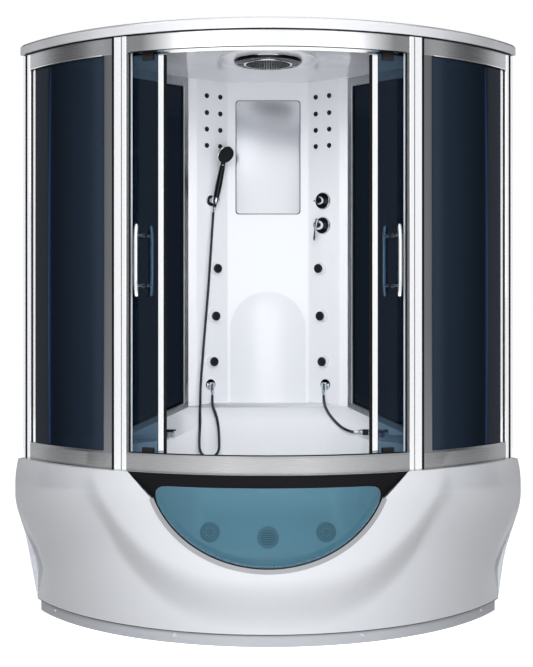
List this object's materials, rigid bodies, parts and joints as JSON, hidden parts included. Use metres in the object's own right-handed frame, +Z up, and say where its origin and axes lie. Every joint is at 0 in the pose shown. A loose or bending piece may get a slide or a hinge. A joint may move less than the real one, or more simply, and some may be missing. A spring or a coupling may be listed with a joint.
{
  "type": "shower enclosure",
  "caption": "Corner shower enclosure: quarter-round tinted glass cabin with curved sliding doors, roof and column over a white tub with an apron window.",
  "frame": {"origin": "middle of the bounding box on the floor", "axes": "+Z up, front towards -Y, the room corner behind towards +Y, X across the front"},
  "size_m": [1.9516, 1.4274, 2.2],
  "materials": {
    "acrylic": "gloss white acrylic",
    "base": "plain base strip",
    "satin_aluminium": "satin",
    "door_aluminium": "satin",
    "tinted_glass": "dark blue-black tint",
    "apron_glass": "teal-blue tint",
    "black_panel": "gloss black",
    "gasket": "matt black",
    "chrome": "polished",
    "black_plastic": "black",
    "roller_plastic": "hard plastic tread",
    "clear_glass": "clear",
    "mirror": "silvered glass",
    "frame_steel": "painted steel",
    "pump_plastic": "black housing",
    "pipe_plastic": "grey pipe",
    "hose_metal": "wound metal hose"
  },
  "bodies": {
    "enclosure": {"base_strip": "base", "basin_fittings": "chrome", "bath_hose": "hose_metal", "bottom_rail": "satin_aluminium", "circulation_pump": "pump_plastic", "column_panel": "acrylic", "deck_fittings": "chrome", "fixed_glass_left": "tinted_glass", "fixed_glass_right": "tinted_glass", "front_post_left": "satin_aluminium", "front_post_right": "satin_aluminium", "glass_shelves": "clear_glass", "header_rail": "satin_aluminium", "jet_collars": "chrome", "levelling_feet": "frame_steel", "micro_jets": "black_plastic", "mirror": "mirror", "pipework": "pipe_plastic", "rain_head": "black_plastic", "roof_cover": "acrylic", "roof_gasket": "gasket", "shelf_rods": "chrome", "shower_hose": "hose_metal", "support_frame": "frame_steel", "tub_apron": "acrylic", "tub_shell": "acrylic", "wall_fittings": "chrome", "wall_frames": "satin_aluminium", "wall_glass": "tinted_glass", "wall_profiles": "satin_aluminium", "window_band": "black_panel", "window_pane": "apron_glass", "window_trim": "satin_aluminium"},
    "door_left": {"door_left_glass": "tinted_glass", "door_left_frame": "door_aluminium", "door_left_handle": "chrome"},
    "roller_left_front": {"roller_left_front": "roller_plastic"},
    "roller_left_rear": {"roller_left_rear": "roller_plastic"},
    "door_right": {"door_right_glass": "tinted_glass", "door_right_frame": "door_aluminium", "door_right_handle": "chrome"},
    "roller_right_front": {"roller_right_front": "roller_plastic"},
    "roller_right_rear": {"roller_right_rear": "roller_plastic"},
    "body_jet_left_low": {"body_jet_left_low": "black_plastic"},
    "body_jet_left_middle": {"body_jet_left_middle": "black_plastic"},
    "body_jet_left_high": {"body_jet_left_high": "black_plastic"},
    "body_jet_right_low": {"body_jet_right_low": "black_plastic"},
    "body_jet_right_middle": {"body_jet_right_middle": "black_plastic"},
    "body_jet_right_high": {"body_jet_right_high": "black_plastic"},
    "tub_jet_left": {"tub_jet_left": "chrome"},
    "tub_jet_right": {"tub_jet_right": "chrome"},
    "diverter_knob": {"diverter_knob": "chrome"},
    "mixer_lever": {"mixer_lever": "chrome"},
    "handset": {"handset": "black_plastic", "handset_cradle": "chrome"},
    "air_control_knob": {"air_control_knob": "chrome"},
    "waste_plug": {"waste_plug": "chrome"}
  },
  "joints": [
    {"name": "door_left_slide", "type": "hinge", "parent": "enclosure", "child": "door_left", "pos_m": [0, 0.53628, 0], "axis": [0, 0, 1], "range_deg": [0, 18.45]},
    {"name": "door_right_slide", "type": "hinge", "parent": "enclosure", "child": "door_right", "pos_m": [0, 0.53628, 0], "axis": [0, 0, -1], "range_deg": [0, 18.45]},
    {"name": "roller_left_front_spin", "type": "hinge", "parent": "door_left", "child": "roller_left_front", "pos_m": [-0.42862, -0.5246, 2.1253], "axis": [-0.3746, -0.9272, 0], "range_deg": [-1765, 0]},
    {"name": "roller_left_rear_spin", "type": "hinge", "parent": "door_left", "child": "roller_left_rear", "pos_m": [-0.79483, -0.28679, 2.1253], "axis": [-0.6947, -0.7193, 0], "range_deg": [-1765, 0]},
    {"name": "roller_right_front_spin", "type": "hinge", "parent": "door_right", "child": "roller_right_front", "pos_m": [0.42862, -0.5246, 2.1253], "axis": [0.3746, -0.9272, 0], "range_deg": [0, 1765]},
    {"name": "roller_right_rear_spin", "type": "hinge", "parent": "door_right", "child": "roller_right_rear", "pos_m": [0.79483, -0.28679, 2.1253], "axis": [0.6947, -0.7193, 0], "range_deg": [0, 1765]},
    {"name": "body_jet_left_low_tilt", "type": "hinge", "parent": "enclosure", "child": "body_jet_left_low", "pos_m": [-0.24469, 0.40604, 0.943], "axis": [0, 0, 1], "range_deg": [-12, 12]},
    {"name": "body_jet_left_middle_tilt", "type": "hinge", "parent": "enclosure", "child": "body_jet_left_middle", "pos_m": [-0.23669, 0.41169, 1.142], "axis": [0, 0, 1], "range_deg": [-12, 12]},
    {"name": "body_jet_left_high_tilt", "type": "hinge", "parent": "enclosure", "child": "body_jet_left_high", "pos_m": [-0.22969, 0.41662, 1.35], "axis": [0, 0, 1], "range_deg": [-12, 12]},
    {"name": "body_jet_right_low_tilt", "type": "hinge", "parent": "enclosure", "child": "body_jet_right_low", "pos_m": [0.24469, 0.40604, 0.943], "axis": [0, 0, 1], "range_deg": [-12, 12]},
    {"name": "body_jet_right_middle_tilt", "type": "hinge", "parent": "enclosure", "child": "body_jet_right_middle", "pos_m": [0.23669, 0.41169, 1.142], "axis": [0, 0, 1], "range_deg": [-12, 12]},
    {"name": "body_jet_right_high_tilt", "type": "hinge", "parent": "enclosure", "child": "body_jet_right_high", "pos_m": [0.22969, 0.41662, 1.35], "axis": [0, 0, 1], "range_deg": [-12, 12]},
    {"name": "tub_jet_left_turn", "type": "hinge", "parent": "enclosure", "child": "tub_jet_left", "pos_m": [-0.241, 0.13706, 0.249], "axis": [0, -0.9766, 0.2149], "range_deg": [-90, 90]},
    {"name": "tub_jet_right_turn", "type": "hinge", "parent": "enclosure", "child": "tub_jet_right", "pos_m": [0.241, 0.13706, 0.249], "axis": [0, -0.9766, 0.2149], "range_deg": [-90, 90]},
    {"name": "diverter_turn", "type": "hinge", "parent": "enclosure", "child": "diverter_knob", "pos_m": [0.242, 0.41284, 1.646], "axis": [-0.5764, -0.8171, 0], "range_deg": [-60, 60]},
    {"name": "mixer_turn", "type": "hinge", "parent": "enclosure", "child": "mixer_lever", "pos_m": [0.242, 0.41284, 1.538], "axis": [-0.5764, -0.8171, 0], "range_deg": [-35, 35]},
    {"name": "handset_swivel", "type": "hinge", "parent": "enclosure", "child": "handset", "pos_m": [-0.252, 0.40578, 1.646], "axis": [0.5764, -0.8171, 0], "range_deg": [-15, 15]},
    {"name": "air_control_turn", "type": "hinge", "parent": "enclosure", "child": "air_control_knob", "pos_m": [-0.405, 0.11128, 0.664], "axis": [0, 0, 1], "range_deg": [-60, 60]},
    {"name": "waste_plug_lift", "type": "slide", "parent": "enclosure", "child": "waste_plug", "axis": [0, 0, 1], "range_m": [0, 0.008]}
  ],
  "couplings": [
    {"joint": "roller_left_front_spin", "follows": "door_left_slide", "ratio": -95.35},
    {"joint": "roller_left_rear_spin", "follows": "door_left_slide", "ratio": -95.35},
    {"joint": "roller_right_front_spin", "follows": "door_right_slide", "ratio": 95.35},
    {"joint": "roller_right_rear_spin", "follows": "door_right_slide", "ratio": 95.35}
  ]
}
